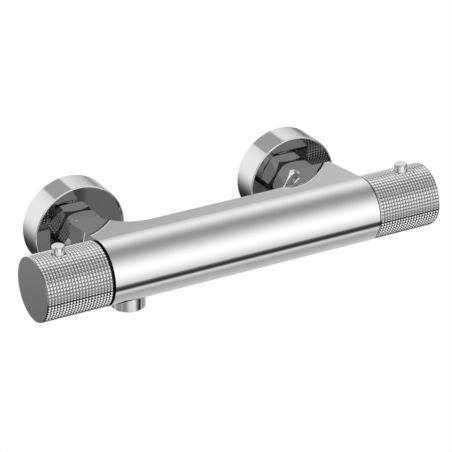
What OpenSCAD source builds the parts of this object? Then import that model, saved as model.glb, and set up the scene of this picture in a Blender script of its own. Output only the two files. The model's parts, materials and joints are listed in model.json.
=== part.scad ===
// Thermostatic shower valve of the exposed bar kind.
// A bar with two necks stands off the wall on two eccentric unions, with a knurled knob at each end.
// X runs along the bar, Y into the wall, Z up. The origin is on the wall, midway between the two wall threads.

/* [Setting out] */
// Distance between the hot inlet and the cold inlet
inlet_spacing = 150; // [148:0.5:152]
// How far the bar's middle lies to the right of the middle of the inlets
bar_shift = 3; // [1:0.1:3.5]
// How far the bar's axis lies below the inlets
bar_drop = 0.9; // [0:0.1:1.5]

/* [Bar body] */
// Diameter of the bar
bar_d = 40.6; // [40.2:0.1:42]
// How much longer the bar is than the distance between the inlets
bar_overhang = 32.5; // [31:0.5:34]
// Slope of the flat top and flat underside towards the wall, in degrees
flat_slope = 7; // [5:0.5:8]
// Distance from the bar's axis to the rear edge of the flats
flat_rear = 16.4; // [16:0.1:17.5]
// Distance from the bar's axis to the end of the necks
neck_len = 40.4; // [39.4:0.1:41.4]
// Gap between a neck and its union nut
neck_gap = 0.4; // [0.2:0.1:1]
// Distance from an inlet's axis to the inner side of its neck
neck_inside = 5.7; // [4:0.1:8]
// Radius of the inner corner between the bar and a neck
neck_corner_r = 24; // [22:0.5:24]
// Diameter of the round boss under a neck's flat
boss_d = 27.4; // [26:0.2:28]

/* [Knobs] */
// Diameter over the knurling
knob_d = 39.8; // [39:0.1:41]
// Length from the bar's end to the knob's end
knob_len = 44.2; // [42:0.2:48]
// Gap between the bar's end and the knob
knob_gap = 0.9; // [0.5:0.1:1.2]
// Thickness of the knob's wall
knob_wall = 3.2; // [2.8:0.1:3.6]
// Thickness of the knob's closed end
knob_end_wall = 3; // [2:0.2:4]
// Chamfer on the knob's rims
knob_chamfer = 0.5; // [0.3:0.1:0.8]
// Turning range of the temperature knob towards cold, in degrees
cold_angle = 200; // [150:5:220]
// Turning range of the temperature knob towards hot, in degrees
hot_angle = 60; // [30:5:80]
// Turning range of the flow knob, in degrees
flow_angle = 180; // [90:5:200]

/* [Buttons] */
// Diameter of a button
button_d = 8; // [7:0.2:9]
// How far a button stands proud of its knob
button_proud = 4.8; // [4:0.1:6]
// Distance from the bar's end to a button's axis
button_from_bar = 27.1; // [26:0.1:29]
// Travel of a button
button_travel = 2.5; // [1.5:0.1:3]
// Diameter of a button's inner flange
button_flange_d = 10.4; // [10:0.1:11]
// Thickness of a button's inner flange
button_flange_t = 1.2; // [0.8:0.1:1.5]
// Diameter of a button's stem
button_stem_d = 3.6; // [3:0.1:4]
// Chamfer on a button's top edge
button_chamfer = 0.4; // [0.2:0.1:0.6]
// Height of the button pocket's floor above the knob's axis
pocket_floor = 8.5; // [8:0.1:9]
// Height of the stem's lower end above the knob's axis
stem_end = 9.2; // [9:0.1:10]
// Wire diameter of a button's spring
button_wire_d = 0.6; // [0.4:0.1:0.7]
// Mean diameter of a button's spring
button_coil_d = 6.4; // [6:0.1:7]

/* [Escutcheons] */
// Diameter of an escutcheon
escutcheon_d = 60; // [56:1:66]
// Depth of an escutcheon from the wall to its front rim
escutcheon_depth = 17.9; // [17:0.1:18.2]
// Thickness of an escutcheon's wall
escutcheon_wall = 1.2; // [1:0.1:1.8]
// How far the front disc lies behind the rim
escutcheon_recess = 1.4; // [1.1:0.1:2.4]
// Thickness of the front disc
escutcheon_disc_t = 1.6; // [1:0.1:2]

/* [Unions] */
// Width across the flats of a union nut
union_nut_af = 27; // [26.6:0.1:30]
// Gap between a union nut and the front disc of its escutcheon
union_nut_gap = 0.6; // [0.3:0.1:1.5]
// Length of a union nut
union_nut_len = 12.4; // [11.8:0.1:13]
// How far inside the flats a union nut's end faces stop
union_nut_chamfer = 0.6; // [0.2:0.1:0.8]
// Slope of the chamfers on a union nut's ends, in degrees
union_nut_slope = 40; // [30:1:45]
// Thickness of a union nut's inner lip
union_lip_t = 2.6; // [2:0.1:3]
// Diameter of the union thread
union_thread_d = 24; // [23.6:0.1:24.2]
// Diameter of the G1/2 wall thread
wall_thread_d = 20.955; // [20.9:0.005:21]
// Length of the wall thread behind the wall
wall_thread_len = 16; // [12:0.5:20]
// Vertical offset between the two ends of an eccentric union
eccentric_offset = 7.5; // [5:0.5:9]
// Bore of the wall end of an eccentric union
wall_bore_d = 14; // [12:0.5:15]
// Bore of the front end of an eccentric union
front_bore_d = 16; // [14:0.5:17]
// Diameter of the front shoulder of an eccentric union
front_shoulder_d = 30; // [28:0.5:32]
// Diameter of the rear shoulder of an eccentric union
rear_shoulder_d = 25; // [24:0.5:27]
// Distance from the wall to the rear shoulder's rear face
rear_shoulder_gap = 1.8; // [1:0.1:2.5]
// Distance from the wall to the front shoulder's rear face
front_shoulder_rear = 5.4; // [5:0.1:6]
// Distance from the wall to the front shoulder's front face
front_shoulder_front = 10.6; // [10:0.1:10.8]
// Width across the spanner flats of the front shoulder
spanner_af = 26; // [25.5:0.1:27]

/* [Inlet tails] */
// Diameter of an inlet tail
tail_d = 18.8; // [18:0.1:19]
// Bore of an inlet tail
tail_bore_d = 14.8; // [14.4:0.1:15]
// Diameter of an inlet tail's flange
tail_flange_d = 22.6; // [22:0.1:23]
// Thickness of an inlet tail's flange
tail_flange_t = 2; // [1.5:0.1:2.2]
// Length of an inlet tail inside its neck
tail_in_neck = 13; // [12:0.1:13.2]
// Depth of the bore in a neck that takes a tail
neck_bore_depth = 13.5; // [13.4:0.1:14]
// Thickness of a filter washer
washer_t = 2; // [1.5:0.1:2.4]
// Bore of a filter washer
washer_bore_d = 14; // [13:0.5:15]
// Thickness of the filter mesh
mesh_t = 0.4; // [0.3:0.1:0.6]
// Width of one opening in the filter mesh
mesh_gap = 1.5; // [1.2:0.1:2]
// Width of one wire in the filter mesh
mesh_wire = 0.5; // [0.4:0.1:0.7]

/* [Check valves] */
// Length of a check valve's housing
check_len = 14; // [13:0.5:15]
// Bore of a check valve's housing
check_bore_d = 12; // [11.4:0.1:12.4]
// Diameter of a check valve's seat opening
seat_d = 8; // [7:0.2:8.6]
// Thickness of a check valve's seat
seat_t = 1.8; // [1.4:0.1:2.2]
// Diameter of a poppet's head
poppet_d = 10; // [9.4:0.1:10.4]
// Thickness of a poppet's head
poppet_t = 1.6; // [1.2:0.1:2]
// Diameter of a poppet's stem
poppet_stem_d = 3; // [2.6:0.1:3.2]
// Diameter of the guide's hub
guide_hub_d = 5; // [4.6:0.1:5.2]
// Thickness of the guide's spokes
guide_t = 1.5; // [1:0.1:2]
// Wire diameter of a check valve's spring
check_wire_d = 0.6; // [0.4:0.1:0.7]
// Mean diameter of a check valve's spring
check_coil_d = 7.4; // [7.2:0.1:7.8]

/* [Sockets and water ways] */
// Diameter of the cartridge sockets
socket_d = 25; // [24.6:0.1:25.2]
// Diameter of the threaded recess at the mouth of a socket
recess_d = 27; // [26.6:0.1:27.6]
// Depth of the threaded recess
recess_depth = 11.3; // [11:0.1:11.6]
// Depth of the thermostat's socket
thermo_socket_depth = 51; // [50:0.5:53]
// Depth of the flow cartridge's socket
flow_socket_depth = 43; // [42:0.5:45]
// Diameter of the mixed water way between the sockets
mixed_way_d = 14; // [12:0.5:16]
// Diameter of the hot water way along the bar
hot_way_d = 6.4; // [5.6:0.2:6.4]
// Distance of the hot water way behind the bar's axis
hot_way_back = 11.5; // [11.3:0.1:11.6]
// Height of the hot water way above the bar's axis
hot_way_up = 12.8; // [12.6:0.1:13]
// Diameter of an inlet's passage in a neck
passage_d = 16; // [15:0.5:16]
// Distance behind the bar's axis at which the hot passage ends
hot_passage_end = 15.6; // [15.4:0.1:16]
// Diameter of the drilling from the hot passage to the hot water way
cross_d = 6; // [5.6:0.1:6]
// Height of that drilling above the bar's axis
cross_up = 8.2; // [8:0.1:8.4]
// Distance behind the bar's axis at which that drilling ends
cross_end = 12.3; // [12.2:0.1:12.5]
// Diameter of the drilling from the hot water way into the thermostat's socket
hot_drop_d = 5.2; // [4.8:0.1:5.4]
// Distance of that drilling behind the bar's axis
hot_drop_back = 9; // [8.8:0.1:9.4]
// Diameter of the cold passage where it enters the thermostat's socket
cold_entry_d = 8; // [7:0.5:9]

/* [Outlet] */
// Diameter of the G1/2 hose thread
outlet_thread_d = 20.955; // [20.9:0.005:21]
// Distance from the bar's left end to the outlet's axis
outlet_from_end = 18.3; // [17.5:0.1:19]
// How far the outlet stands out below the bar
outlet_proud = 5.7; // [5:0.1:12]
// Length of the outlet's shank above its seat
outlet_shank_len = 3; // [2.8:0.1:3.2]
// Length of the outlet's thread, measured from its lower end
outlet_thread_len = 5; // [4:0.1:5.2]
// Depth of the relief groove between the outlet's thread and its seat
outlet_relief = 0.6; // [0.5:0.1:0.8]
// Chamfer on the outlet's lower edge
outlet_chamfer = 0.8; // [0.5:0.1:1]
// Bore of the outlet
outlet_bore_d = 13; // [11:0.5:14]
// Diameter of the outlet's shank in the bar
outlet_shank_d = 17; // [16.6:0.1:17.4]
// Thickness of bar metal between the shank's end and the socket
outlet_web = 1.6; // [1.4:0.1:1.8]
// Diameter of the opening from the socket to the outlet
outlet_hole_d = 11; // [9:0.5:12]

/* [Cartridges] */
// Thickness of a cartridge's flange
flange_t = 3; // [2.6:0.1:3.2]
// Diameter of a cartridge's nose
nose_d = 19.2; // [18.8:0.1:19.6]
// Length of a cartridge's nose outside the bar
nose_len = 7; // [6.8:0.1:7.4]
// Diameter of a spindle
spindle_d = 8; // [7.6:0.1:8.2]
// Depth of a spindle's splines
spline_depth = 0.6; // [0.4:0.1:0.8]
// Distance from the bar's end to a spindle's outer end
spindle_out = 34; // [32:0.5:36]
// Diameter of a spindle's inner flange
spindle_flange_d = 12; // [11:0.5:13]
// Thickness of a spindle's inner flange
spindle_flange_t = 2; // [1.6:0.1:2.2]
// Depth of a cartridge's end wall below the bar's end
chamber_top = 13; // [12.8:0.1:13.2]
// Bore of the thermostat's housing
thermo_bore_d = 19; // [18.6:0.1:19.2]
// Bore of the flow cartridge's housing
flow_bore_d = 20.4; // [20:0.1:20.6]
// Opening in the inner end of the thermostat's housing
thermo_mouth_d = 12.4; // [12:0.1:12.8]
// Thickness of the lip round that opening
mouth_lip_t = 1.5; // [1.2:0.1:1.8]
// Diameter of a port in a housing
port_d = 5.2; // [4.8:0.1:5.2]
// Distance from the bar's right end to the hot ports
hot_port_in = 39.25; // [38.8:0.1:39.4]
// Distance from a retaining nut's outer face to the bar's end
retainer_inset = 1; // [0.8:0.1:1.5]
// Width of a slot in a retaining nut
retainer_slot = 3; // [2.5:0.1:3.5]
// Depth of a slot in a retaining nut
retainer_slot_depth = 1.8; // [1.4:0.1:2.2]
// Section diameter of the sealing rings
o_ring_d = 1.8; // [1.6:0.1:1.8]

/* [Thermostat] */
// Diameter of the wax element's bulb
bulb_d = 8.8; // [8.4:0.1:9.2]
// Length of the wax element's bulb
bulb_len = 14; // [12:0.5:15]
// Diameter of the wax element's collar
collar_d = 11; // [10.6:0.1:11.4]
// Thickness of the wax element's collar
collar_t = 2.2; // [1.8:0.1:2.6]
// Diameter of the wax element's guide
guide_d = 7; // [6.4:0.1:7.4]
// Diameter of the wax element's piston
piston_d = 3; // [2.6:0.1:3.4]
// Thickness of the shuttle's web
web_t = 3; // [2.6:0.1:3.4]
// Thickness of the shuttle's skirt
skirt_t = 1.4; // [1.2:0.1:1.5]
// Diameter of a flow hole in the shuttle's web
web_hole_d = 2.6; // [2.2:0.1:2.8]
// Diameter of the circle on which those holes lie
web_hole_pcd = 12; // [11.8:0.1:12.2]
// Diameter of the spindle's pusher
pusher_d = 6; // [5.6:0.1:6.4]
// Gap between the piston and the pusher
piston_gap = 0.8; // [0.7:0.1:1]
// Wire diameter of the return spring
thermo_wire_d = 1.1; // [0.9:0.1:1.2]
// Mean diameter of the return spring
thermo_coil_d = 14.8; // [14.7:0.1:14.9]

/* [Flow cartridge] */
// Thickness of the inlet seal
seal_t = 3.6; // [3.2:0.1:4]
// Opening of the inlet seal
seal_bore_d = 17; // [16:0.5:18]
// Thickness of the fixed disc
fixed_disc_t = 4; // [3.6:0.1:4.4]
// Thickness of the moving disc
moving_disc_t = 3.2; // [2.8:0.1:3.6]
// Thickness of the carrier on the spindle
carrier_t = 3; // [2.6:0.1:3.4]
// Inner radius of the disc openings
disc_hole_in = 2.5; // [2:0.1:3]
// Outer radius of the disc openings
disc_hole_out = 7.8; // [7.2:0.1:8.2]
// Angle that each opening in a disc spans, in degrees
disc_hole_angle = 70; // [60:1:75]
// Angle between the two openings in a disc, in degrees
disc_hole_apart = 80; // [78:1:90]

/* [Fixings] */
// Diameter of a knob's grub screw
grub_d = 4; // [3.6:0.1:4.4]
// Length of a knob's grub screw
grub_len = 8; // [7:0.5:9]
// Distance from the bar's end to the grub screw's axis
grub_from_bar = 20; // [19.5:0.1:21]
// Width across the flats of the grub screw's socket
grub_af = 2; // [1.8:0.1:2.2]
// Depth of the grub screw's socket
grub_socket = 2; // [1.6:0.1:2.4]
// Thickness of a stop ring
stop_ring_t = 3.6; // [3.2:0.1:3.8]
// Diameter of a stop ring without its lug
stop_ring_d = 23; // [22.6:0.1:23.2]
// Inner radius of a stop lug
lug_in = 12; // [11.8:0.1:12.2]
// Outer radius of a stop lug
lug_out = 15.4; // [15:0.1:15.6]
// Distance from the bar's end to a knob's driver
driver_from_bar = 8.4; // [8.2:0.1:8.6]

/* [Fits] */
// Radial gap between pieces that are fixed together
fit_gap = 0.1; // [0.08:0.01:0.12]
// Radial gap between pieces that run in each other
run_gap = 0.06; // [0.04:0.01:0.08]
// End gap between stacked pieces
seat_gap = 0.1; // [0.08:0.01:0.12]
// How far a cut runs past the face that it opens
cut_over = 1; // [0.5:0.1:1]

/* [Hidden] */
$fn = 64;
coil_sides = 6;
coil_steps = 12;
spline_count = 20;
lug_angle = 16;
stop_angle = 2;
quarter_turn = 90;
sector_step = 6;
hex_ratio = 2/sqrt(3);

bar_r = bar_d/2;
bar_len = inlet_spacing + bar_overhang;
bar_half = bar_len/2;
outlet_down = bar_r + outlet_proud;
outlet_top = socket_d/2 + outlet_web + seat_gap;
outlet_seat = outlet_top + outlet_shank_len;
inlet_x = inlet_spacing/2;
hot_x = -inlet_x - bar_shift;
cold_x = inlet_x - bar_shift;
outlet_x = outlet_from_end - bar_half;
disc_front = escutcheon_depth - escutcheon_recess;
disc_rear = disc_front - escutcheon_disc_t;
union_nut_rear = disc_front + union_nut_gap;
nut_front = union_nut_rear + union_nut_len;
neck_end = nut_front + neck_gap;
bar_reach = neck_end + neck_len;
flat_z = bar_r/cos(flat_slope) - neck_len*tan(flat_slope);

socket_r = socket_d/2;
recess_r = recess_d/2;
housing_r = socket_r - fit_gap;
spindle_r = spindle_d/2;
nose_r = nose_d/2;
cold_port_z = cold_x - bar_half;
retainer_z = seat_gap + flange_t - recess_depth;
groove_w = o_ring_d + seat_gap + seat_gap;
groove_r = housing_r - o_ring_d;

knob_r = knob_d/2;
knob_bore_r = knob_r - knob_wall;
knob_floor = knob_len - knob_end_wall;
driver_r = knob_bore_r - fit_gap;
driver_end = knob_floor - seat_gap;
button_r = button_d/2;
button_flange_r = button_flange_d/2;
button_top = knob_r + button_proud;
flange_top = sqrt(knob_bore_r*knob_bore_r - button_flange_r*button_flange_r) - seat_gap;
flange_low = flange_top - button_flange_t;
pocket_r = button_flange_r + fit_gap + fit_gap;
stem_hole_floor = stem_end - button_travel - cut_over;

thread_r = union_thread_d/2;
tail_flange_front = nut_front - union_lip_t - seat_gap;
tail_flange_rear = tail_flange_front - tail_flange_t;
washer_rear = tail_flange_rear - seat_gap - washer_t;
union_face = washer_rear - seat_gap;
tail_r = tail_d/2;
tail_end = neck_end + tail_in_neck;
tail_groove_z = tail_end - groove_w - groove_w;
check_r = tail_bore_d/2 - fit_gap;
check_rear = tail_flange_rear + seat_gap;
check_front = check_rear + check_len;
poppet_z = check_rear + seat_t + seat_gap;
guide_z = check_front - guide_t;

shuttle_r = thermo_bore_d/2 - run_gap;
shuttle_low = port_d/2 - hot_port_in;
shuttle_high = cold_port_z - port_d/2;
web_low = (shuttle_low + shuttle_high)/2 - web_t;
web_high = web_low + web_t;
pusher_end = shuttle_high - skirt_t;
piston_end = pusher_end - piston_gap;
mouth_z = seat_gap - thermo_socket_depth;
seal_low = seat_gap - flow_socket_depth;
disc_low = seal_low + seal_t + seat_gap;
moving_low = disc_low + fixed_disc_t + run_gap;
carrier_low = moving_low + moving_disc_t + seat_gap;

// The bar's own frame: its middle is the origin and X runs along its axis
module bar_frame() {
    translate([bar_shift, -bar_reach, eccentric_offset - bar_drop]) children();
}

// Frame at one end of the bar: Z runs outwards along the bar's axis, -X is up
module end_frame(side) {
    bar_frame()
        mirror([side < 0 ? 1 : 0, 0, 0])
            translate([bar_half, 0, 0]) rotate([0, 90, 0]) children();
}

// Frame at one inlet: Z runs from the wall to the front, Y is up
module inlet_frame(side) {
    translate([side*inlet_x, 0, eccentric_offset]) rotate([90, 0, 0]) children();
}

module along_x(x0, x1, r) {
    translate([x0, 0, 0]) rotate([0, 90, 0]) cylinder(h = x1 - x0, r = r);
}

module along_y(y0, y1, r) {
    translate([0, y1, 0]) rotate([90, 0, 0]) cylinder(h = y1 - y0, r = r);
}

module tube(z0, z1, r_out, r_in) {
    difference() {
        translate([0, 0, z0]) cylinder(h = z1 - z0, r = r_out);
        translate([0, 0, z0 - cut_over]) cylinder(h = z1 - z0 + cut_over*2, r = r_in);
    }
}

// A sealing ring whose section touches the radius r_out
module o_ring(z, r_out) {
    translate([0, 0, z]) rotate_extrude() translate([r_out - o_ring_d/2, 0]) circle(d = o_ring_d, $fn = 24);
}

module o_ring_groove(z, r_out) {
    tube(z - groove_w/2, z + groove_w/2, r_out + cut_over, r_out - o_ring_d);
}

// A wedge of a ring between two radii and two angles
module sector(r0, r1, a0, a1, h) {
    steps = ceil((a1 - a0)/sector_step);
    linear_extrude(height = h) polygon(concat(
        [for (i = [0:steps]) let (a = a0 + (a1 - a0)*i/steps) [r1*cos(a), r1*sin(a)]],
        [for (i = [0:steps]) let (a = a1 - (a1 - a0)*i/steps) [r0*cos(a), r0*sin(a)]]
    ));
}

// A round wire wound at an even pitch between two heights
module coil(z0, z1, mean_r, wire_r, turns) {
    n = round(turns*coil_steps);
    rise = z1 - z0 - wire_r*2;
    pts = [for (i = [0:n], j = [0:coil_sides - 1])
        let (a = 360*turns*i/n, b = 360*j/coil_sides, r = mean_r + wire_r*cos(b))
        [r*cos(a), r*sin(a), z0 + wire_r + rise*i/n + wire_r*sin(b)]];
    sides = [for (i = [0:n - 1], j = [0:coil_sides - 1])
        let (k = (j + 1) % coil_sides, p = i*coil_sides, q = p + coil_sides)
        each [[p + j, p + k, q + k], [p + j, q + k, q + j]]];
    first = [for (j = [0:coil_sides - 1]) coil_sides - 1 - j];
    last = [for (j = [0:coil_sides - 1]) n*coil_sides + j];
    polyhedron(points = pts, faces = concat(sides, [first, last]), convexity = 10);
}

// Toothed outline of a spindle's splines
module spline_outline(r, depth) {
    polygon([for (i = [0:spline_count*2 - 1]) let (q = i % 2 == 0 ? r : r - depth, a = 180*i/spline_count)
        [q*cos(a), q*sin(a)]]);
}

// Bar and necks: a round bar with sloping flats tangent to it, cut to the outline seen from above
module bar_section() {
    circle(r = bar_r, $fn = 96);
    polygon([
        [bar_r*sin(flat_slope), bar_r*cos(flat_slope)],
        [neck_len, flat_z],
        [neck_len, -flat_z],
        [bar_r*sin(flat_slope), -bar_r*cos(flat_slope)]
    ]);
}

module bar_plan() {
    left = hot_x + neck_inside;
    right = cold_x - neck_inside;
    round_left = left + neck_corner_r;
    round_right = right - neck_corner_r;
    difference() {
        translate([-bar_half, -bar_d]) square([bar_len, bar_d + neck_len]);
        translate([round_left, flat_rear]) square([round_right - round_left, neck_len]);
        for (x = [round_left, round_right])
            translate([x, flat_rear + neck_corner_r]) circle(r = neck_corner_r, $fn = 96);
        translate([left, flat_rear + neck_corner_r]) square([right - left, neck_len]);
    }
}

module neck_bosses() {
    intersection() {
        for (x = [hot_x, cold_x]) translate([x, 0, bar_drop]) along_y(bar_r/2, neck_len, boss_d/2);
        translate([-bar_half, 0, -bar_d]) cube([bar_len, neck_len, bar_d*2]);
    }
}

module water_ways() {
    // sockets for the two cartridges, open at the bar's ends
    along_x(bar_half - thermo_socket_depth, bar_half + cut_over, socket_r);
    along_x(-bar_half - cut_over, flow_socket_depth - bar_half, socket_r);
    along_x(bar_half - recess_depth, bar_half + cut_over, recess_r);
    along_x(-bar_half - cut_over, recess_depth - bar_half, recess_r);
    // mixed water
    along_x(-bar_half + recess_depth, bar_half - recess_depth, mixed_way_d/2);
    // hot water from the left neck to the thermostat
    translate([0, hot_way_back, hot_way_up]) along_x(hot_x - hot_way_d/2, bar_half - hot_port_in + hot_way_d/2, hot_way_d/2);
    translate([hot_x, 0, bar_drop]) along_y(hot_passage_end, neck_len, passage_d/2);
    translate([hot_x, 0, cross_up]) along_y(cross_end, neck_len - neck_bore_depth, cross_d/2);
    translate([bar_half - hot_port_in, hot_drop_back, 0]) cylinder(h = hot_way_up, r = hot_drop_d/2);
    // cold water from the right neck to the thermostat
    translate([cold_x, 0, bar_drop]) along_y(0, neck_len, cold_entry_d/2);
    translate([cold_x, 0, bar_drop]) along_y(hot_passage_end, neck_len, passage_d/2);
    // bores for the inlet tails
    for (x = [hot_x, cold_x])
        translate([x, 0, bar_drop]) along_y(neck_len - neck_bore_depth, neck_len + cut_over, tail_r + fit_gap);
}

module outlet_bores() {
    translate([outlet_x, 0, 0]) {
        translate([0, 0, -bar_d]) cylinder(h = bar_d - outlet_seat, r = outlet_thread_d/2 + fit_gap);
        translate([0, 0, -bar_d]) cylinder(h = bar_d - socket_r - outlet_web, r = outlet_shank_d/2 + fit_gap);
        translate([0, 0, -bar_d]) cylinder(h = bar_d, r = outlet_hole_d/2);
    }
}

module valve_body() {
    color("silver") bar_frame() difference() {
        union() {
            intersection() {
                translate([-bar_half, 0, 0]) rotate([90, 0, 90]) linear_extrude(height = bar_len) bar_section();
                translate([0, 0, -bar_d]) linear_extrude(height = bar_d*2) bar_plan();
            }
            neck_bosses();
        }
        water_ways();
        outlet_bores();
    }
}

module outlet_nipple() {
    top = -outlet_top;
    thread_r = outlet_thread_d/2;
    color("silver") bar_frame() translate([outlet_x, 0, 0]) difference() {
        rotate_extrude() polygon([
            [outlet_bore_d/2, -outlet_down],
            [thread_r - outlet_chamfer, -outlet_down],
            [thread_r, outlet_chamfer - outlet_down],
            [thread_r, outlet_thread_len - outlet_down],
            [thread_r - outlet_relief, outlet_thread_len + outlet_relief - outlet_down],
            [thread_r - outlet_relief, -outlet_seat - seat_gap],
            [outlet_shank_d/2, -outlet_seat - seat_gap],
            [outlet_shank_d/2, top],
            [outlet_bore_d/2, top]
        ]);
        o_ring_groove((top - outlet_seat)/2, outlet_shank_d/2);
    }
}

module outlet_o_ring() {
    color("black") bar_frame() translate([outlet_x, 0, 0]) o_ring(-(outlet_top + outlet_seat)/2, outlet_shank_d/2);
}

// Places of the sealing rings along a cartridge, measured from the bar's end
function thermo_rings() = [cold_port_z + port_d, (shuttle_low + shuttle_high)/2, mouth_z + port_d];
function flow_rings() = [-outlet_from_end + port_d, moving_low];

module housing_ports(z, angles) {
    for (a = angles) translate([0, 0, z]) rotate([0, 0, a]) rotate([0, 90, 0]) cylinder(h = socket_d, r = port_d/2);
}

module housing_nose(bore_r) {
    inner = spindle_r + run_gap;
    polygon([
        [bore_r, -chamber_top - cut_over],
        [housing_r, -chamber_top - cut_over],
        [housing_r, seat_gap - recess_depth],
        [recess_r - fit_gap, seat_gap - recess_depth],
        [recess_r - fit_gap, retainer_z],
        [nose_r, retainer_z],
        [nose_r, nose_len],
        [inner, nose_len],
        [inner, -chamber_top],
        [bore_r, -chamber_top]
    ]);
}

module thermostat_housing() {
    bore_r = thermo_bore_d/2;
    color("goldenrod") end_frame(1) difference() {
        rotate_extrude() {
            housing_nose(bore_r);
            polygon([
                [thermo_mouth_d/2, mouth_z],
                [housing_r, mouth_z],
                [housing_r, -chamber_top],
                [bore_r, -chamber_top],
                [bore_r, mouth_z + mouth_lip_t],
                [thermo_mouth_d/2, mouth_z + mouth_lip_t]
            ]);
        }
        housing_ports(cold_port_z, [0, 90, 180, 270]);
        housing_ports(-hot_port_in, [0, 90, 180, 270]);
        for (z = thermo_rings()) o_ring_groove(z, housing_r);
    }
}

module thermostat_o_rings() {
    color("black") end_frame(1) for (z = thermo_rings()) o_ring(z, housing_r);
}

module retaining_nut() {
    top = -retainer_inset;
    low = retainer_z + seat_gap;
    difference() {
        tube(low, top, recess_r - fit_gap, nose_r + fit_gap);
        for (a = [0:60:300])
            rotate([0, 0, a]) translate([0, -retainer_slot/2, top - retainer_slot_depth])
                cube([recess_d, retainer_slot, recess_depth]);
    }
}

module thermostat_retaining_nut() {
    color("goldenrod") end_frame(1) retaining_nut();
}

module flow_retaining_nut() {
    color("goldenrod") end_frame(-1) retaining_nut();
}

// Fixed ring on a cartridge's nose; its lug leaves free only the angles that the knob turns through
module stop_ring(from_angle, to_angle) {
    low = nose_len - stop_ring_t;
    half = lug_angle/2 + stop_angle;
    tube(low, nose_len, stop_ring_d/2, nose_r + fit_gap);
    translate([0, 0, low]) sector(stop_ring_d/2 - fit_gap, lug_out, to_angle + half, from_angle + 360 - half, stop_ring_t);
}

module temperature_stop_ring() {
    color("white") end_frame(1) rotate([0, 0, 180]) stop_ring(-cold_angle, hot_angle);
}

module flow_stop_ring() {
    color("white") end_frame(-1) rotate([0, 0, 180]) stop_ring(-flow_angle, 0);
}

// Splined outer end and plain shaft that both spindles share
module spindle_shaft() {
    flange_z = -chamber_top - seat_gap - spindle_flange_t;
    translate([0, 0, flange_z]) cylinder(h = spindle_flange_t, r = spindle_flange_d/2);
    translate([0, 0, flange_z]) cylinder(h = driver_from_bar - flange_z, r = spindle_r);
    translate([0, 0, driver_from_bar]) linear_extrude(height = spindle_out - driver_from_bar)
        spline_outline(spindle_r - fit_gap, spline_depth);
}

module thermostat_spindle() {
    color("goldenrod") end_frame(1) {
        spindle_shaft();
        translate([0, 0, pusher_end]) cylinder(h = -chamber_top - seat_gap - pusher_end, r = pusher_d/2);
    }
}

module mixing_shuttle() {
    color("white") end_frame(1) difference() {
        union() {
            tube(shuttle_low, shuttle_high, shuttle_r, shuttle_r - skirt_t);
            translate([0, 0, web_low]) cylinder(h = web_t, r = shuttle_r - skirt_t/2);
        }
        translate([0, 0, web_low - cut_over]) cylinder(h = web_t + cut_over*2, r = guide_d/2 + fit_gap);
        for (a = [0:45:315])
            rotate([0, 0, a]) translate([web_hole_pcd/2, 0, web_low - cut_over])
                cylinder(h = web_t + cut_over*2, r = web_hole_d/2, $fn = 24);
    }
}

module wax_element() {
    collar_low = web_low - seat_gap - collar_t;
    color("darkorange") end_frame(1) {
        translate([0, 0, collar_low - bulb_len]) cylinder(h = bulb_len, r = bulb_d/2);
        translate([0, 0, collar_low]) cylinder(h = collar_t, r = collar_d/2);
        translate([0, 0, collar_low]) cylinder(h = web_high - collar_low + piston_d/2, r = guide_d/2);
        translate([0, 0, collar_low]) cylinder(h = piston_end - collar_low, r = piston_d/2);
    }
}

module thermostat_spring() {
    color("gray") end_frame(1)
        coil(mouth_z + mouth_lip_t + seat_gap, web_low - seat_gap, thermo_coil_d/2, thermo_wire_d/2, 6);
}

module flow_housing() {
    bore_r = flow_bore_d/2;
    color("goldenrod") end_frame(-1) difference() {
        rotate_extrude() {
            housing_nose(bore_r);
            polygon([
                [bore_r, disc_low],
                [housing_r, disc_low],
                [housing_r, -chamber_top],
                [bore_r, -chamber_top]
            ]);
        }
        housing_ports(-outlet_from_end, [0, 90, 180, 270]);
        for (z = flow_rings()) o_ring_groove(z, housing_r);
    }
}

module flow_o_rings() {
    color("black") end_frame(-1) for (z = flow_rings()) o_ring(z, housing_r);
}

module flow_inlet_seal() {
    color("black") end_frame(-1) tube(seal_low, seal_low + seal_t, housing_r, seal_bore_d/2);
}

// Two openings on one side of a ceramic disc
module disc_openings(z, h, side_angle) {
    middle = side_angle + quarter_turn;
    translate([0, 0, z - cut_over]) for (s = [-1, 1]) let (a = middle + (s*disc_hole_apart - disc_hole_angle)/2)
        sector(disc_hole_in, disc_hole_out, a, a + disc_hole_angle, h + cut_over*2);
}

module flow_fixed_disc() {
    color("whitesmoke") end_frame(-1) difference() {
        translate([0, 0, disc_low]) cylinder(h = fixed_disc_t, r = flow_bore_d/2 - fit_gap);
        disc_openings(disc_low, fixed_disc_t, 0);
    }
}

module flow_moving_disc() {
    color("whitesmoke") end_frame(-1) difference() {
        translate([0, 0, moving_low]) cylinder(h = moving_disc_t, r = flow_bore_d/2 - fit_gap*2);
        disc_openings(moving_low, moving_disc_t, 180);
    }
}

module flow_spindle() {
    color("goldenrod") end_frame(-1) {
        spindle_shaft();
        translate([0, 0, carrier_low]) cylinder(h = -chamber_top - seat_gap - carrier_low, r = pusher_d/2);
        difference() {
            translate([0, 0, carrier_low]) cylinder(h = carrier_t, r = flow_bore_d/2 - fit_gap*4);
            disc_openings(carrier_low, carrier_t, 180);
        }
    }
}

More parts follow.
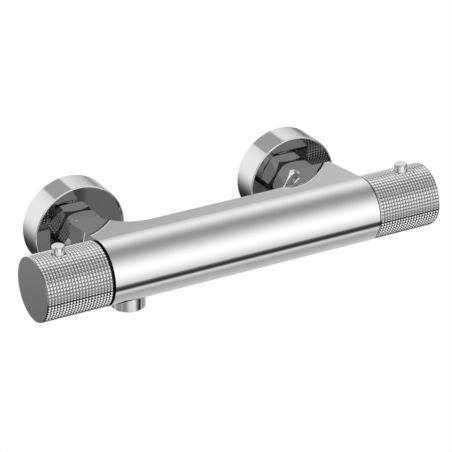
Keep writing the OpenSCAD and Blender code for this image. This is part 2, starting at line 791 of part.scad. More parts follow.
// Knob shell: closed outer end, smooth bore, a hole for the button above and one for the grub screw below
module knob_shell() {
    difference() {
        rotate_extrude($fn = 96) polygon([
            [knob_bore_r, knob_gap],
            [knob_r - knob_chamfer, knob_gap],
            [knob_r, knob_gap + knob_chamfer],
            [knob_r, knob_len - knob_chamfer],
            [knob_r - knob_chamfer, knob_len],
            [0, knob_len],
            [0, knob_floor],
            [knob_bore_r, knob_floor]
        ]);
        translate([0, 0, button_from_bar]) rotate([0, -90, 0]) cylinder(h = knob_d, r = button_r + run_gap);
        translate([0, 0, grub_from_bar]) rotate([0, 90, 0]) cylinder(h = knob_d, r = grub_d/2 + fit_gap);
    }
}

// Splined driver inside a knob, with the button's pocket, the screw's hole and a stop lug
module knob_driver() {
    difference() {
        union() {
            translate([0, 0, driver_from_bar]) cylinder(h = driver_end - driver_from_bar, r = driver_r);
            rotate([0, 0, 180]) translate([0, 0, driver_from_bar - stop_ring_t])
                sector(lug_in, lug_out, -lug_angle/2, lug_angle/2, stop_ring_t + fit_gap);
        }
        translate([0, 0, driver_from_bar - cut_over])
            linear_extrude(height = spindle_out + seat_gap + cut_over - driver_from_bar)
                spline_outline(spindle_r, spline_depth);
        translate([-pocket_floor, 0, button_from_bar]) rotate([0, -90, 0]) cylinder(h = knob_d, r = pocket_r);
        translate([-stem_hole_floor, 0, button_from_bar]) rotate([0, -90, 0])
            cylinder(h = knob_d, r = button_stem_d/2 + run_gap);
        translate([0, 0, grub_from_bar]) rotate([0, 90, 0]) cylinder(h = knob_d, r = grub_d/2 + fit_gap);
    }
}

module grub_screw() {
    low = spindle_r + seat_gap + seat_gap;
    translate([low, 0, grub_from_bar]) rotate([0, 90, 0]) difference() {
        cylinder(h = grub_len, r = grub_d/2);
        translate([0, 0, grub_len - grub_socket])
            cylinder(h = grub_socket + cut_over, r = grub_af/2*hex_ratio, $fn = 6);
    }
}

module push_button() {
    translate([0, 0, button_from_bar]) rotate([0, -90, 0]) rotate_extrude() polygon([
        [0, stem_end],
        [button_stem_d/2, stem_end],
        [button_stem_d/2, flange_low],
        [button_flange_r, flange_low],
        [button_flange_r, flange_top],
        [button_r, flange_top],
        [button_r, button_top - button_chamfer],
        [button_r - button_chamfer, button_top],
        [0, button_top]
    ]);
}

module button_spring() {
    translate([0, 0, button_from_bar]) rotate([0, -90, 0])
        coil(pocket_floor + seat_gap, flange_low - seat_gap, button_coil_d/2, button_wire_d/2, 4);
}

module temperature_knob() {
    color("silver") end_frame(1) knob_shell();
}

module flow_knob() {
    color("silver") end_frame(-1) knob_shell();
}

module temperature_driver() {
    color("white") end_frame(1) knob_driver();
}

module flow_driver() {
    color("white") end_frame(-1) knob_driver();
}

module temperature_grub_screw() {
    color("gray") end_frame(1) grub_screw();
}

module flow_grub_screw() {
    color("gray") end_frame(-1) grub_screw();
}

module temperature_button() {
    color("silver") end_frame(1) push_button();
}

module flow_button() {
    color("silver") end_frame(-1) push_button();
}

module temperature_button_spring() {
    color("gray") end_frame(1) button_spring();
}

module flow_button_spring() {
    color("gray") end_frame(-1) button_spring();
}

// Flanged tail that joins a neck to its union
module inlet_tail() {
    difference() {
        union() {
            tube(tail_flange_rear, tail_end, tail_r, tail_bore_d/2);
            tube(tail_flange_rear, tail_flange_front, tail_flange_d/2, tail_bore_d/2);
        }
        o_ring_groove(tail_groove_z, tail_r);
    }
}

module hot_inlet_tail() {
    color("silver") inlet_frame(-1) inlet_tail();
}

module cold_inlet_tail() {
    color("silver") inlet_frame(1) inlet_tail();
}

module inlet_o_rings() {
    color("black") for (s = [-1, 1]) inlet_frame(s) o_ring(tail_groove_z, tail_r);
}

// Housing of a check valve: seat at the wall side, spoked guide at the front
module check_housing() {
    tube(check_rear, check_front, check_r, check_bore_d/2);
    tube(check_rear, check_rear + seat_t, check_r, seat_d/2);
    tube(guide_z, check_front, guide_hub_d/2, poppet_stem_d/2 + run_gap);
    for (a = [90:120:330])
        rotate([0, 0, a]) translate([guide_hub_d/2 - fit_gap, -guide_t/2, guide_z])
            cube([(check_bore_d - guide_hub_d)/2 + fit_gap*2, guide_t, guide_t]);
}

module hot_check_housing() {
    color("white") inlet_frame(-1) check_housing();
}

module cold_check_housing() {
    color("white") inlet_frame(1) check_housing();
}

module check_poppet() {
    translate([0, 0, poppet_z]) cylinder(h = poppet_t, r = poppet_d/2);
    translate([0, 0, poppet_z]) cylinder(h = check_front - poppet_z - seat_gap, r = poppet_stem_d/2);
}

module hot_check_poppet() {
    color("dodgerblue") inlet_frame(-1) check_poppet();
}

module cold_check_poppet() {
    color("dodgerblue") inlet_frame(1) check_poppet();
}

module check_spring() {
    coil(poppet_z + poppet_t + seat_gap, guide_z - seat_gap, check_coil_d/2, check_wire_d/2, 5);
}

module hot_check_spring() {
    color("gray") inlet_frame(-1) check_spring();
}

module cold_check_spring() {
    color("gray") inlet_frame(1) check_spring();
}

module filter_washers() {
    color("black") for (s = [-1, 1]) inlet_frame(s)
        tube(washer_rear, washer_rear + washer_t, tail_flange_d/2, washer_bore_d/2);
}

// Flat round grid held in the washer's bore
module filter_mesh() {
    r = washer_bore_d/2 - fit_gap;
    pitch = mesh_gap + mesh_wire;
    count = floor(r/pitch);
    translate([0, 0, washer_rear + washer_t/2]) difference() {
        cylinder(h = mesh_t, r = r);
        for (i = [-count:count], j = [-count:count])
            if (norm([i, j])*pitch + mesh_gap*sqrt(1/2) < r - mesh_wire)
                translate([i*pitch - mesh_gap/2, j*pitch - mesh_gap/2, -cut_over])
                    cube([mesh_gap, mesh_gap, mesh_t + cut_over*2]);
    }
}

module filter_meshes() {
    color("lightgray") for (s = [-1, 1]) inlet_frame(s) filter_mesh();
}

// Hexagon union nut with a flat on top and both ends chamfered
module union_nut() {
    flat_r = union_nut_af/2;
    corner_r = flat_r*hex_ratio;
    out_r = corner_r + cut_over;
    rise = (out_r - flat_r + union_nut_chamfer)*tan(union_nut_slope);
    shelf = nut_front - union_lip_t;
    difference() {
        intersection() {
            translate([0, 0, union_nut_rear]) cylinder(h = union_nut_len, r = corner_r, $fn = 6);
            rotate_extrude() polygon([
                [0, union_nut_rear],
                [flat_r - union_nut_chamfer, union_nut_rear],
                [out_r, union_nut_rear + rise],
                [out_r, nut_front - rise],
                [flat_r - union_nut_chamfer, nut_front],
                [0, nut_front]
            ]);
        }
        translate([0, 0, union_nut_rear - cut_over])
            cylinder(h = shelf - union_nut_rear + cut_over, r = thread_r + run_gap);
        translate([0, 0, union_nut_rear]) cylinder(h = union_nut_len + cut_over, r = tail_r + run_gap);
    }
}

module hot_union_nut() {
    color("silver") inlet_frame(-1) union_nut();
}

module cold_union_nut() {
    color("silver") inlet_frame(1) union_nut();
}

// Union whose wall end lies below its front end, so that turning it corrects the inlet spacing
module eccentric_union() {
    shoulder_t = front_shoulder_front - front_shoulder_rear;
    difference() {
        union() {
            translate([0, 0, front_shoulder_rear]) cylinder(h = union_face - front_shoulder_rear, r = thread_r);
            intersection() {
                translate([0, 0, front_shoulder_rear]) cylinder(h = shoulder_t, r = front_shoulder_d/2);
                translate([-spanner_af/2, -front_shoulder_d, front_shoulder_rear])
                    cube([spanner_af, front_shoulder_d*2, shoulder_t]);
            }
            translate([0, -eccentric_offset, rear_shoulder_gap])
                cylinder(h = front_shoulder_front - rear_shoulder_gap, r = rear_shoulder_d/2);
            translate([0, -eccentric_offset, -wall_thread_len])
                cylinder(h = wall_thread_len + front_shoulder_rear, r = wall_thread_d/2);
        }
        translate([0, -eccentric_offset, -wall_thread_len - cut_over])
            cylinder(h = wall_thread_len + front_shoulder_rear + cut_over*2, r = wall_bore_d/2);
        translate([0, 0, front_shoulder_rear]) cylinder(h = union_face, r = front_bore_d/2);
    }
}

module hot_eccentric_union() {
    color("silver") inlet_frame(-1) eccentric_union();
}

module cold_eccentric_union() {
    color("silver") inlet_frame(1) eccentric_union();
}

// Cup that hides the union: open at the wall, a recessed disc and a rounded rim at the front
module escutcheon() {
    outer = escutcheon_d/2;
    inner = outer - escutcheon_wall;
    rotate_extrude($fn = 96) {
        translate([inner, 0]) square([escutcheon_wall, escutcheon_depth - escutcheon_wall/2]);
        translate([inner + escutcheon_wall/2, escutcheon_depth - escutcheon_wall/2])
            circle(d = escutcheon_wall, $fn = 32);
        translate([thread_r + run_gap, disc_rear]) square([inner - thread_r, escutcheon_disc_t]);
    }
}

module hot_escutcheon() {
    color("silver") inlet_frame(-1) escutcheon();
}

module cold_escutcheon() {
    color("silver") inlet_frame(1) escutcheon();
}

valve_body();
outlet_nipple();
outlet_o_ring();
thermostat_housing();
thermostat_o_rings();
thermostat_retaining_nut();
temperature_stop_ring();
thermostat_spindle();
mixing_shuttle();
wax_element();
thermostat_spring();
flow_housing();
flow_o_rings();
flow_inlet_seal();
flow_fixed_disc();
flow_moving_disc();
flow_spindle();
flow_retaining_nut();
flow_stop_ring();
temperature_knob();
temperature_driver();
temperature_grub_screw();
temperature_button();
temperature_button_spring();
flow_knob();
flow_driver();
flow_grub_screw();
flow_button();
flow_button_spring();
hot_inlet_tail();
cold_inlet_tail();
inlet_o_rings();
hot_check_housing();
cold_check_housing();
hot_check_poppet();
cold_check_poppet();
hot_check_spring();
cold_check_spring();
filter_washers();
filter_meshes();
hot_union_nut();
cold_union_nut();
hot_eccentric_union();
cold_eccentric_union();
hot_escutcheon();
cold_escutcheon();
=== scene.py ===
# Looks of a chrome thermostatic shower valve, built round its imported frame
import json
import math
import bpy
from mathutils import Matrix, Vector


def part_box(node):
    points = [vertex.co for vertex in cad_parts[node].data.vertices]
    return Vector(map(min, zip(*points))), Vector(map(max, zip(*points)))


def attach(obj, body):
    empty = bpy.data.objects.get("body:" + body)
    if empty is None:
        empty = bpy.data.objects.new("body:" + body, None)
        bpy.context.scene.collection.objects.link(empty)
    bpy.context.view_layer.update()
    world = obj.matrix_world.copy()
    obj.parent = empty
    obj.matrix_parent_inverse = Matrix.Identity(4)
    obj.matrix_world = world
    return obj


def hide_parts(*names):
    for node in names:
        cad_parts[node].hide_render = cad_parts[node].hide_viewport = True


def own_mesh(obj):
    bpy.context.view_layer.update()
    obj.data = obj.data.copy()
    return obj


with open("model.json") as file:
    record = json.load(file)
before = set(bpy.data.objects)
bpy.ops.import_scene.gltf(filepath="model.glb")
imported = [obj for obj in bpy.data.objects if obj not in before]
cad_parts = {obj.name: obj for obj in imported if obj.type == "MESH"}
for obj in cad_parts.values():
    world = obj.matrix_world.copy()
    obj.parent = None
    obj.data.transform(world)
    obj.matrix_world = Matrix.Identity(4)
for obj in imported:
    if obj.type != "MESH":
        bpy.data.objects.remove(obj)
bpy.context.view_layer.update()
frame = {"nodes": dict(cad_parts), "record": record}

nodes = frame["nodes"]
record = frame["record"]


# ---------------------------------------------------------------- places on the part, in metres
# The bar's axis, the knobs' radius and the inlets' places
BAR_Y = -0.0703
BAR_Z = 0.0066
KNOB_R = 0.0199
INLET_X = 0.075
INLET_Z = 0.0075
# The plate inside each cup's rim, where shade is painted: its radius, and a depth just behind its front
PLATE_R = 0.0287
PLATE_REAR = -0.0155

# ---------------------------------------------------------------- hose outlet, in metres
OUTLET_BORE_R = 0.0065
OUTLET_SHANK_R = 0.0085
OUTLET_SHANK = 0.003
OUTLET_CHAMFER = 0.0008
OUTLET_STEPS = 96
OUTLET_SHARP_DEGREES = 30

# ---------------------------------------------------------------- knurled knobs, in metres
# Rings of square studs along the knob and round it. They stand a little outside the source's plain shell.
COLUMNS = 21
ROWS = 60
KNURL_PROUD = 0.0002
GROOVE = 0.0006
# The flat top's share of the pitch
TOP_SHARE = 0.36
# Beside the studs: a plain edge at each end of the knob, the shell's wall and its closed end
EDGE = 0.00065
WALL = 0.0032
END_WALL = 0.003
# The right knob starts with a shoulder: its length in edges and how far it lies below the studs, in grooves
SHOULDER_LONG = 0.6
SHOULDER_LOW = 0.2
# The closed end's rim: how far it lies below the studs, in grooves, and its bevel along and inwards, in edges
RIM_LOW = 0.35
BEVEL_ALONG = 0.3
BEVEL_IN = 0.5
# How near a point must be to a stud's top or a groove's bottom to count as there, in grooves
NEAR = 0.1
# Round holes for the button above and the grub screw below, cut from half the knob's radius outwards
BUTTON_HOLE_R = 0.00425
SCREW_HOLE_R = 0.00215
DRILL_STEPS = 48
DRILL_FROM = 0.5
DRILL_TO = 1.5

# ---------------------------------------------------------------- looks
# Colours, the range of the roughness, the fineness of the grain, and a bump's strength and depth in metres
CHROME = (0.9, 0.9, 0.91)
CHROME_ROUGHNESS = (0.02, 0.045)
CHROME_GRAIN = 35.0
CHROME_DETAIL = 4.0
# Painted shade: the chrome plate inside each cup's rim is coloured dark to stand in for the dim reflections it shows
PLATE_PAINTED_SHADE = (0.2, 0.2, 0.205)
STUD_COLOR = (0.95, 0.95, 0.955)
# Painted shade: the grooves' bottom is coloured nearly black to stand in for the shade in them
GROOVE_PAINTED_SHADE = (0.02, 0.02, 0.02)
STUD_ROUGHNESS = (0.03, 0.07)
STUD_GRAIN = 60.0
# How fast the studs' flanks turn from the painted groove shade to the stud's colour
FLANK_GAIN = 2.2
STEEL = (0.62, 0.62, 0.6)
STEEL_ROUGHNESS = (0.18, 0.3)
BRASS = (0.78, 0.6, 0.3)
BRASS_DARK = (0.72, 0.53, 0.25)
BRASS_LIGHT = (0.84, 0.68, 0.38)
BRASS_ROUGHNESS = (0.18, 0.34)
BRASS_GRAIN = 260.0
BRASS_BUMP = (0.15, 0.0002)
SOFT_SPREAD = 0.06
SOFT_BUMP = (0.2, 0.0001)
FLOOR_COLOR = (0.85, 0.85, 0.85)
FLOOR_ROUGHNESS = 0.8
WHITE = (1, 1, 1, 1)


# ---------------------------------------------------------------- materials
def principled(name, color, metallic, roughness):
    m = bpy.data.materials.new(name)
    m.use_nodes = True
    n = m.node_tree.nodes["Principled BSDF"]
    n.inputs["Base Color"].default_value = (*color, 1)
    n.inputs["Metallic"].default_value = metallic
    n.inputs["Roughness"].default_value = roughness
    return m, n


def calculator(tree):
    """Gives a function that adds a math node to a tree and returns its output."""
    def calc(op, *values):
        n = tree.nodes.new("ShaderNodeMath")
        n.operation = op
        for i, v in enumerate(values):
            if isinstance(v, (int, float)):
                n.inputs[i].default_value = v
            else:
                tree.links.new(v, n.inputs[i])
        return n.outputs[0]
    return calc


def place(m):
    """The three coordinates of the surface point on the part."""
    tree = m.node_tree
    where = tree.nodes.new("ShaderNodeTexCoord")
    split = tree.nodes.new("ShaderNodeSeparateXYZ")
    tree.links.new(where.outputs["Object"], split.inputs["Vector"])
    return split.outputs


def radius(calc, a, b, a0, b0):
    """Distance from an axis that runs through a0 and b0."""
    da, db = calc("SUBTRACT", a, a0), calc("SUBTRACT", b, b0)
    return calc("SQRT", calc("ADD", calc("MULTIPLY", da, da), calc("MULTIPLY", db, db)))


def noise(m, scale, detail=3.0):
    tree = m.node_tree
    where = tree.nodes.new("ShaderNodeTexCoord")
    n = tree.nodes.new("ShaderNodeTexNoise")
    n.inputs["Scale"].default_value = scale
    n.inputs["Detail"].default_value = detail
    tree.links.new(where.outputs["Object"], n.inputs["Vector"])
    return n.outputs["Fac"]


def roughen(m, shader, value, low, high):
    """Roughness between low and high, as the value says."""
    n = m.node_tree.nodes.new("ShaderNodeMapRange")
    n.inputs["To Min"].default_value = low
    n.inputs["To Max"].default_value = high
    m.node_tree.links.new(value, n.inputs["Value"])
    m.node_tree.links.new(n.outputs["Result"], shader.inputs["Roughness"])


def tint(m, shader, value, low, high):
    """Base colour between low and high, as the value says."""
    n = m.node_tree.nodes.new("ShaderNodeMix")
    n.data_type = "RGBA"
    n.inputs["A"].default_value = (*low, 1)
    n.inputs["B"].default_value = (*high, 1)
    m.node_tree.links.new(value, n.inputs["Factor"])
    m.node_tree.links.new(n.outputs["Result"], shader.inputs["Base Color"])


def bump(m, shader, value, strength, distance):
    n = m.node_tree.nodes.new("ShaderNodeBump")
    n.inputs["Strength"].default_value = strength
    n.inputs["Distance"].default_value = distance
    m.node_tree.links.new(value, n.inputs["Height"])
    m.node_tree.links.new(n.outputs["Normal"], shader.inputs["Normal"])


def chrome(name, color=CHROME, rough=CHROME_ROUGHNESS):
    m, s = principled(name, color, 1.0, rough[0])
    roughen(m, s, noise(m, CHROME_GRAIN, CHROME_DETAIL), *rough)
    return m


def cup_chrome(side):
    """Bright chrome outside and on the rim. The front plate inside the rim is painted dark, a painted shade that
    stands in for the dim reflections seen in it.
    """
    m, s = principled("cup_chrome_" + ("cold" if side > 0 else "hot"), CHROME, 1.0, CHROME_ROUGHNESS[0])
    calc = calculator(m.node_tree)
    roughen(m, s, noise(m, CHROME_GRAIN, CHROME_DETAIL), *CHROME_ROUGHNESS)
    x, y, z = place(m)
    inside = calc("LESS_THAN", radius(calc, x, z, side*INLET_X, INLET_Z), PLATE_R)
    front = calc("LESS_THAN", y, PLATE_REAR)
    # Painted shade: the plate inside the rim and in front of its rear depth is coloured dark
    tint(m, s, calc("MULTIPLY", inside, front), CHROME, PLATE_PAINTED_SHADE)
    return m


def knurl_chrome():
    """Bright chrome on the studs, with painted shade that turns it nearly black at the bottom of the grooves between
    them.
    """
    m, s = principled("knurl_chrome", CHROME, 1.0, STUD_ROUGHNESS[0])
    calc = calculator(m.node_tree)
    roughen(m, s, noise(m, STUD_GRAIN, CHROME_DETAIL), *STUD_ROUGHNESS)
    x, y, z = place(m)
    bottom = KNOB_R + KNURL_PROUD - GROOVE
    height = calc("DIVIDE", calc("SUBTRACT", radius(calc, y, z, BAR_Y, BAR_Z), bottom), GROOVE)
    height = calc("MINIMUM", calc("MAXIMUM", calc("MULTIPLY", height, FLANK_GAIN), 0.0), 1.0)
    # Painted shade: the colour darkens from the stud's top down the flanks to nearly black in the grooves
    tint(m, s, height, GROOVE_PAINTED_SHADE, STUD_COLOR)
    return m


def brass():
    m, s = principled("machined_brass", BRASS, 1.0, BRASS_ROUGHNESS[0])
    v = noise(m, BRASS_GRAIN)
    roughen(m, s, v, *BRASS_ROUGHNESS)
    tint(m, s, v, BRASS_DARK, BRASS_LIGHT)
    bump(m, s, v, *BRASS_BUMP)
    return m


def soft(name, dark, light, rough, grain):
    """Rubber, plastic or ceramic with a fine grain."""
    m, s = principled(name, light, 0.0, rough)
    v = noise(m, grain)
    tint(m, s, v, dark, light)
    roughen(m, s, v, rough - SOFT_SPREAD, rough + SOFT_SPREAD)
    bump(m, s, v, *SOFT_BUMP)
    return m


looks = {
    "polished_chrome": chrome("polished_chrome"),
    "bare_brass": brass(),
    "black_rubber": soft("black_rubber", (0.012, 0.012, 0.012), (0.03, 0.03, 0.03), 0.55, 500.0),
    "white_plastic": soft("white_plastic", (0.74, 0.74, 0.71), (0.82, 0.82, 0.8), 0.4, 300.0),
    "blue_plastic": soft("blue_plastic", (0.06, 0.22, 0.6), (0.1, 0.3, 0.7), 0.4, 300.0),
    "ceramic": soft("lapped_ceramic", (0.83, 0.83, 0.8), (0.9, 0.9, 0.88), 0.2, 400.0),
    "stainless_steel": chrome("stainless_steel", STEEL, STEEL_ROUGHNESS),
}
knurl = knurl_chrome()

for entry in record["subparts"]:
    o = nodes[entry["node"]]
    o.data.materials.clear()
    o.data.materials.append(looks[entry["material_slot"]])
for node, side in (("hot_escutcheon", -1), ("cold_escutcheon", 1)):
    nodes[node].data.materials[0] = cup_chrome(side)


def add(name, data):
    """Puts a mesh or a camera into the scene as a new object."""
    o = bpy.data.objects.new(name, data)
    bpy.context.scene.collection.objects.link(o)
    return o


# ---------------------------------------------------------------- knurled knobs
def drill(o, x, y, z, way, hole_r):
    """Cuts a radial hole in the knob's shell, up or down from its axis."""
    n = DRILL_STEPS
    circle = [(hole_r*math.cos(2*math.pi*k/n), hole_r*math.sin(2*math.pi*k/n)) for k in range(n)]
    low, high = sorted((z + way*KNOB_R*DRILL_FROM, z + way*KNOB_R*DRILL_TO))
    points = [(x + u, y + v, height) for height in (low, high) for u, v in circle]
    walls = [(k, (k + 1) % n, (k + 1) % n + n, k + n) for k in range(n)]
    mesh = bpy.data.meshes.new("drill")
    mesh.from_pydata(points, [], walls + [tuple(range(n - 1, -1, -1)), tuple(range(n, 2*n))])
    mesh.materials.append(looks["polished_chrome"])
    cutter = add("drill", mesh)
    cut = o.modifiers.new("hole", "BOOLEAN")
    cut.operation = "DIFFERENCE"
    cut.solver = "EXACT"
    cut.material_mode = "TRANSFER"
    cut.object = cutter
    bpy.context.view_layer.update()
    done = bpy.data.meshes.new_from_object(o.evaluated_get(bpy.context.evaluated_depsgraph_get()))
    o.modifiers.clear()
    o.data = done
    bpy.data.objects.remove(cutter)


def stud_lines(count, pitch):
    """Places across a row of studs, each with 1 on a stud's top and 0 at a groove's bottom."""
    lines = []
    for k in range(count):
        start = k*pitch
        lines += [(start, 0), (start + pitch*(1 - TOP_SHARE)/2, 1), (start + pitch*(1 + TOP_SHARE)/2, 1)]
    return lines


def knurled_knob(node, side, body):
    """Knob shell with a grid of square studs all round, a smooth closed end and a bore. side is -1 or 1."""
    low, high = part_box(node)
    r = (high.z - low.z)/2 + KNURL_PROUD
    cy, cz = (low.y + high.y)/2, (low.z + high.z)/2
    x_in, x_out = (low.x, high.x) if side > 0 else (high.x, low.x)
    bore = r - WALL
    length = abs(x_out - x_in) - 2*EDGE
    turn = 2*math.pi/ROWS
    spokes = [(a - turn/2, up) for a, up in stud_lines(ROWS, turn)]
    n = len(spokes)
    verts, faces = [], []

    def ring(x, radii):
        """A ring of points at x, one on each spoke. Returns the first one's number."""
        start = len(verts)
        verts.extend((x, cy + q*math.sin(a), cz + q*math.cos(a)) for (a, top), q in zip(spokes, radii))
        return start

    def smooth(x, q):
        return ring(x, [q]*n)

    def studded(x, up):
        """Follows the studs where up is 1, and the grooves' bottom where it is 0."""
        return ring(x, [r - GROOVE*(1 - up*top) for a, top in spokes])

    def face(*corners):
        """Adds a face, turned so that it looks out of either knob."""
        faces.append(corners if side < 0 else corners[::-1])

    rings = [smooth(x_in, bore)]
    if side > 0:
        rings += [smooth(x_in, r - GROOVE*SHOULDER_LOW),
                  smooth(x_in + EDGE*SHOULDER_LONG, r - GROOVE*SHOULDER_LOW)]
    else:
        rings.append(smooth(x_in, r - GROOVE))
    for d, up in stud_lines(COLUMNS, length/COLUMNS) + [(length, 0)]:
        rings.append(studded(x_in + side*(EDGE + d), up))
    rings.append(smooth(x_out - side*EDGE*BEVEL_ALONG, r - GROOVE*RIM_LOW))
    rings.append(smooth(x_out, r - GROOVE*RIM_LOW - EDGE*BEVEL_IN))

    for p, q in zip(rings, rings[1:]):
        for j in range(n):
            k = (j + 1) % n
            quad = [p + j, p + k, q + k, q + j]
            tall = [math.hypot(verts[v][1] - cy, verts[v][2] - cz) for v in quad]
            tops = [i for i, t in enumerate(tall) if t > r - GROOVE*NEAR]
            if len(tops) == 1 and min(tall) > r - GROOVE*(1 + NEAR):
                # A stud's corner: the fold runs from the stud's top down to the groove
                a, b, c, d = quad[tops[0]:] + quad[:tops[0]]
                face(a, b, c)
                face(a, c, d)
            else:
                face(*quad)
    plain = len(faces)
    first, last = rings[0], rings[-1]
    face(*range(last, last + n))
    inner = smooth(x_out - side*END_WALL, bore)
    for j in range(n):
        k = (j + 1) % n
        face(inner + j, inner + k, first + k, first + j)
    face(*range(inner + n - 1, inner - 1, -1))

    mesh = bpy.data.meshes.new(node + "_knurled")
    mesh.from_pydata(verts, [], faces)
    mesh.materials.append(knurl)
    mesh.materials.append(looks["polished_chrome"])
    for polygon in mesh.polygons:
        polygon.material_index = 1 if polygon.index >= plain else 0
    mesh.validate()
    mesh.update()
    o = add(node + "_knurled", mesh)
    for part, way, hole_r in (("button", 1, BUTTON_HOLE_R), ("grub_screw", -1, SCREW_HOLE_R)):
        start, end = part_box(node.replace("knob", part))
        drill(o, (start.x + end.x)/2, cy, cz, way, hole_r)
    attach(o, body)
    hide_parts(node)


knurled_knob("temperature_knob", 1, "temperature_handle")
knurled_knob("flow_knob", -1, "flow_handle")


# ---------------------------------------------------------------- hose outlet
def plain_outlet(node):
    """The hose outlet turned as one plain wall up to the bar, as the photograph shows it."""
    low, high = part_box(node)
    cx, cy = (low.x + high.x)/2, (low.y + high.y)/2
    r = (high.x - low.x)/2
    seat = high.z - OUTLET_SHANK
    profile = [(OUTLET_BORE_R, low.z), (r - OUTLET_CHAMFER, low.z), (r, low.z + OUTLET_CHAMFER), (r, seat),
               (OUTLET_SHANK_R, seat), (OUTLET_SHANK_R, high.z), (OUTLET_BORE_R, high.z)]
    n = OUTLET_STEPS
    verts = [(cx + q*math.cos(2*math.pi*k/n), cy + q*math.sin(2*math.pi*k/n), z)
             for q, z in profile for k in range(n)]
    faces = []
    for i in range(len(profile)):
        p, q = i*n, (i + 1) % len(profile)*n
        faces += [(p + k, p + (k + 1) % n, q + (k + 1) % n, q + k) for k in range(n)]
    mesh = bpy.data.meshes.new(node + "_turned")
    mesh.from_pydata(verts, [], faces)
    mesh.materials.append(looks["polished_chrome"])
    mesh.update()
    o = add(node + "_turned", mesh)
    mesh.shade_smooth()
    mesh.set_sharp_from_angle(angle=math.radians(OUTLET_SHARP_DEGREES))
    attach(o, "valve")
    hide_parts(node)


plain_outlet("outlet_nipple")


# ---------------------------------------------------------------- springs
def coil_spring(node, joint_name):
    """A copy of the spring's own coil, put on the body that holds it in place of the source's spring."""
    behaviour = record["behaviour"]
    body = next(name for name, held in behaviour["bodies"].items() if node in held)
    joint = next(j for j in behaviour["joints"] if j["name"] == joint_name)
    travel = max(joint["range_m"], key=abs)
    way = Vector(joint["axis"])*math.copysign(1.0, travel)
    o = add(node + "_coil", nodes[node].data.copy())
    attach(o, body)
    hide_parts(node)
    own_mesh(o)


for node, joint_name in (("hot_check_spring", "hot_poppet_lift"), ("cold_check_spring", "cold_poppet_lift"),
                         ("temperature_button_spring", "temperature_press"),
                         ("flow_button_spring", "flow_press"), ("thermostat_spring", "mixing_slide")):
    coil_spring(node, joint_name)


# ---------------------------------------------------------------- studio
# Light by its direction: x is to the right, y to the back and z up, each from -1 to 1. A rise is a start and a
# slope, and goes from 0 to 1 above its start. A fall is the same below its start.
FILL = 0.1
# Soft lights that run beside the bar, each an angle about X from the front upwards, a half width in degrees,
# a strength and how square it is. The flag takes light away and leaves the dark line under the bar's front.
LIGHTS = {
    "front_bank": (14.0, 48.0, 0.9, 2.0),
    "rear_bank": (129.5, 31.0, 0.575, 2.0),
    "low_bank": (-140.0, 80.0, 0.47, 2.0),
    "flag": (-42.0, 11.0, -0.42, 6.0),
    "low_strip": (-57.5, 9.0, 0.27, 2.0),
}
# How much of the flag is left towards the left
FLAG_LEFT = 0.45
FLAG_RISE = (-0.2, 3.0)
# A dark card behind the part, which shades the sloping flats, more so to the left
REAR_CARD = (171.0, 9.0, 1.0, 2.0)
REAR_CARD_FALL = (0.54, 1.78)
REAR_CARD_MOST = 0.25
# A darker gap between the banks, behind and to the right
RIGHT_GAP = (182.0, 11.0, 0.31, 2.0)
RIGHT_GAP_RISE = (0.5, 8.0)
# A pale patch low in front of the part: its middle and half width in x and in z, its strength and how square it is
PATCH_X = (-0.05, 0.4)
PATCH_Z = (-0.42, 0.16)
PATCH_STRENGTH = 0.22
PATCH_SQUARE = 4.0
PATCH_FALL = (0.0, 4.0)
# A tall bank behind and to the left: its middle and half width in z, its strength and how square it is
BACK_BANK = (0.16, 0.56, 0.8, 4.0)
BACK_RISE = (0.55, 6.0)
BACK_FALL = (0.32, 12.0)
# A grey card before the top of the back bank, which doesn't reach its right end
CARD_SHADE = 0.33
CARD_RISE = (0.525, 60.0)
CARD_FALL = (0.24, 30.0)
# Beyond the long banks' ends the studio is dim, more so above
END_RISE = (0.72, 5.0)
END_LOW = 0.25
END_HIGH = 0.15
END_HEIGHT_RISE = (-0.5, 1.1)
# Low on the left it is nearly black
DARK_SHADE = 0.02
DARK_FALL = (0.1, 20.0)
DARK_HEIGHT_FALL = (-0.45, 7.0)
WORLD_STRENGTH = 1.1


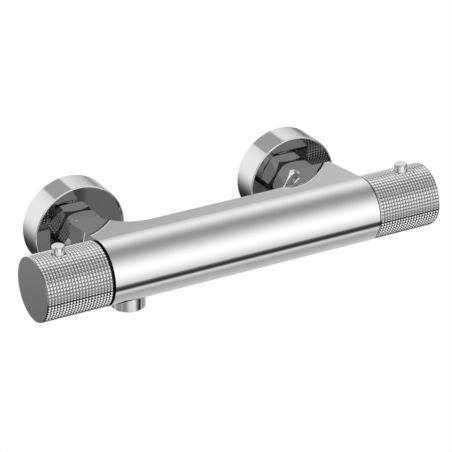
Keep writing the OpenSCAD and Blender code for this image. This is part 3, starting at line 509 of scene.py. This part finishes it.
def studio():
    world = bpy.data.worlds.new("studio")
    bpy.context.scene.world = world
    world.use_nodes = True
    tree = world.node_tree
    tree.nodes.clear()
    new, link = tree.nodes.new, tree.links.new
    calc = calculator(tree)

    def glow(distance, width, strength, square):
        """Strength times exp(-(distance/width)^square)."""
        share = calc("ABSOLUTE", calc("DIVIDE", distance, width))
        return calc("MULTIPLY", calc("EXPONENT", calc("MULTIPLY", calc("POWER", share, square), -1.0)), strength)

    def rise(value, edge, slope):
        return calc("MINIMUM", calc("MAXIMUM", calc("MULTIPLY", calc("SUBTRACT", value, edge), slope), 0.0), 1.0)

    def fall(value, edge, slope):
        return rise(calc("MULTIPLY", value, -1.0), -edge, slope)

    def blend(fac, a, b):
        return calc("ADD", calc("MULTIPLY", a, calc("SUBTRACT", 1.0, fac)), calc("MULTIPLY", b, fac))

    where = new("ShaderNodeTexCoord")
    split = new("ShaderNodeSeparateXYZ")
    link(where.outputs["Generated"], split.inputs["Vector"])
    x, y, z = split.outputs
    angle = calc("DEGREES", calc("ARCTAN2", z, calc("MULTIPLY", y, -1.0)))

    def bank(centre, width, strength, square):
        """A light that runs beside the bar."""
        apart = calc("WRAP", calc("SUBTRACT", angle, centre), 180.0, -180.0)
        return glow(apart, width, strength, square)

    around = FILL
    for name, sizes in LIGHTS.items():
        light = bank(*sizes)
        if name == "flag":
            light = calc("MULTIPLY", light, blend(rise(x, *FLAG_RISE), FLAG_LEFT, 1.0))
        around = calc("ADD", around, light)
    card = calc("MINIMUM", fall(x, *REAR_CARD_FALL), REAR_CARD_MOST)
    around = calc("SUBTRACT", around, calc("MULTIPLY", bank(*REAR_CARD), card))
    around = calc("SUBTRACT", around, calc("MULTIPLY", bank(*RIGHT_GAP), rise(x, *RIGHT_GAP_RISE)))

    (middle_x, half_x), (middle_z, half_z) = PATCH_X, PATCH_Z
    patch = calc("MULTIPLY", glow(calc("SUBTRACT", x, middle_x), half_x, PATCH_STRENGTH, PATCH_SQUARE),
                 glow(calc("SUBTRACT", z, middle_z), half_z, 1.0, PATCH_SQUARE))
    around = calc("ADD", around, calc("MULTIPLY", patch, fall(y, *PATCH_FALL)))

    end_shade = blend(rise(z, *END_HEIGHT_RISE), END_LOW, END_HIGH)
    around = blend(rise(calc("ABSOLUTE", x), *END_RISE), around, end_shade)
    dark = calc("MULTIPLY", fall(x, *DARK_FALL), fall(z, *DARK_HEIGHT_FALL))
    around = blend(dark, around, DARK_SHADE)

    middle, half, strength, square = BACK_BANK
    back = glow(calc("SUBTRACT", z, middle), half, strength, square)
    back = blend(calc("MULTIPLY", rise(z, *CARD_RISE), fall(x, *CARD_FALL)), back, CARD_SHADE)
    shade = blend(calc("MULTIPLY", rise(y, *BACK_RISE), fall(x, *BACK_FALL)), around, back)

    seen = new("ShaderNodeBackground")
    seen.inputs["Color"].default_value = WHITE
    seen.inputs["Strength"].default_value = 1.0
    lit = new("ShaderNodeBackground")
    lit.inputs["Strength"].default_value = WORLD_STRENGTH
    link(shade, lit.inputs["Color"])
    path = new("ShaderNodeLightPath")
    both = new("ShaderNodeMixShader")
    link(path.outputs["Is Camera Ray"], both.inputs["Fac"])
    link(lit.outputs["Background"], both.inputs[1])
    link(seen.outputs["Background"], both.inputs[2])
    out = new("ShaderNodeOutputWorld")
    link(both.outputs["Shader"], out.inputs["Surface"])


# The floor lies far below, so that the part is also seen whole from underneath
FLOOR_HALF = 3.0
FLOOR_Z = -1.6


def pale_floor():
    """Pale floor, white to the camera. Mirror rays pass through it to the lights, which give the chrome its bands."""
    mesh = bpy.data.meshes.new("floor")
    corners = ((-1, -1), (1, -1), (1, 1), (-1, 1))
    mesh.from_pydata([(FLOOR_HALF*i, FLOOR_HALF*j, FLOOR_Z) for i, j in corners], [], [(0, 1, 2, 3)])
    o = add("floor", mesh)
    m, s = principled("pale_floor", FLOOR_COLOR, 0.0, FLOOR_ROUGHNESS)
    mesh.materials.append(m)
    tree = m.node_tree
    new, link = tree.nodes.new, tree.links.new
    path = new("ShaderNodeLightPath")
    white = new("ShaderNodeEmission")
    white.inputs["Color"].default_value = WHITE
    white.inputs["Strength"].default_value = 1.0
    clear = new("ShaderNodeBsdfTransparent")
    seen, all_rays = new("ShaderNodeMixShader"), new("ShaderNodeMixShader")
    link(path.outputs["Is Camera Ray"], seen.inputs["Fac"])
    link(s.outputs["BSDF"], seen.inputs[1])
    link(white.outputs["Emission"], seen.inputs[2])
    link(path.outputs["Is Glossy Ray"], all_rays.inputs["Fac"])
    link(seen.outputs["Shader"], all_rays.inputs[1])
    link(clear.outputs["BSDF"], all_rays.inputs[2])
    link(all_rays.outputs["Shader"], tree.nodes["Material Output"].inputs["Surface"])


studio()
pale_floor()


# ---------------------------------------------------------------- camera
# Fitted to the photograph: azimuth, elevation and roll in degrees, and the place from the bar's middle in
# millimetres, across the picture, up it and back from it
CAMERA_ANGLES = (-29.886, 26.425, 0.641)
CAMERA_PLACE_MM = (-2.81, 8.93, 1531.44)
FOCAL_PIXELS = 2536.41
PICTURE_PIXELS = 452
SENSOR_MM = 36.0
CLIP_END = 20.0
MM_PER_M = 1000


def camera():
    az, el, roll = (math.radians(v) for v in CAMERA_ANGLES)
    back = Vector((math.sin(az)*math.cos(el), -math.cos(az)*math.cos(el), math.sin(el)))
    right = Vector((math.cos(az), math.sin(az), 0))
    up = back.cross(right)
    c, s = math.cos(roll), math.sin(roll)
    across, upward = right*c + up*s, up*c - right*s
    data = bpy.data.cameras.new("camera")
    data.sensor_width = SENSOR_MM
    data.lens = FOCAL_PIXELS/PICTURE_PIXELS*SENSOR_MM
    data.clip_end = CLIP_END
    o = add("camera", data)
    dx, dy, dz = CAMERA_PLACE_MM
    spot = Vector((0.0, BAR_Y, BAR_Z)) + (across*dx + upward*dy + back*dz)/MM_PER_M
    o.matrix_world = Matrix((
        (across.x, upward.x, back.x, spot.x),
        (across.y, upward.y, back.y, spot.y),
        (across.z, upward.z, back.z, spot.z),
        (0, 0, 0, 1)))
    bpy.context.scene.camera = o


camera()
bpy.context.scene.view_settings.view_transform = "Standard"
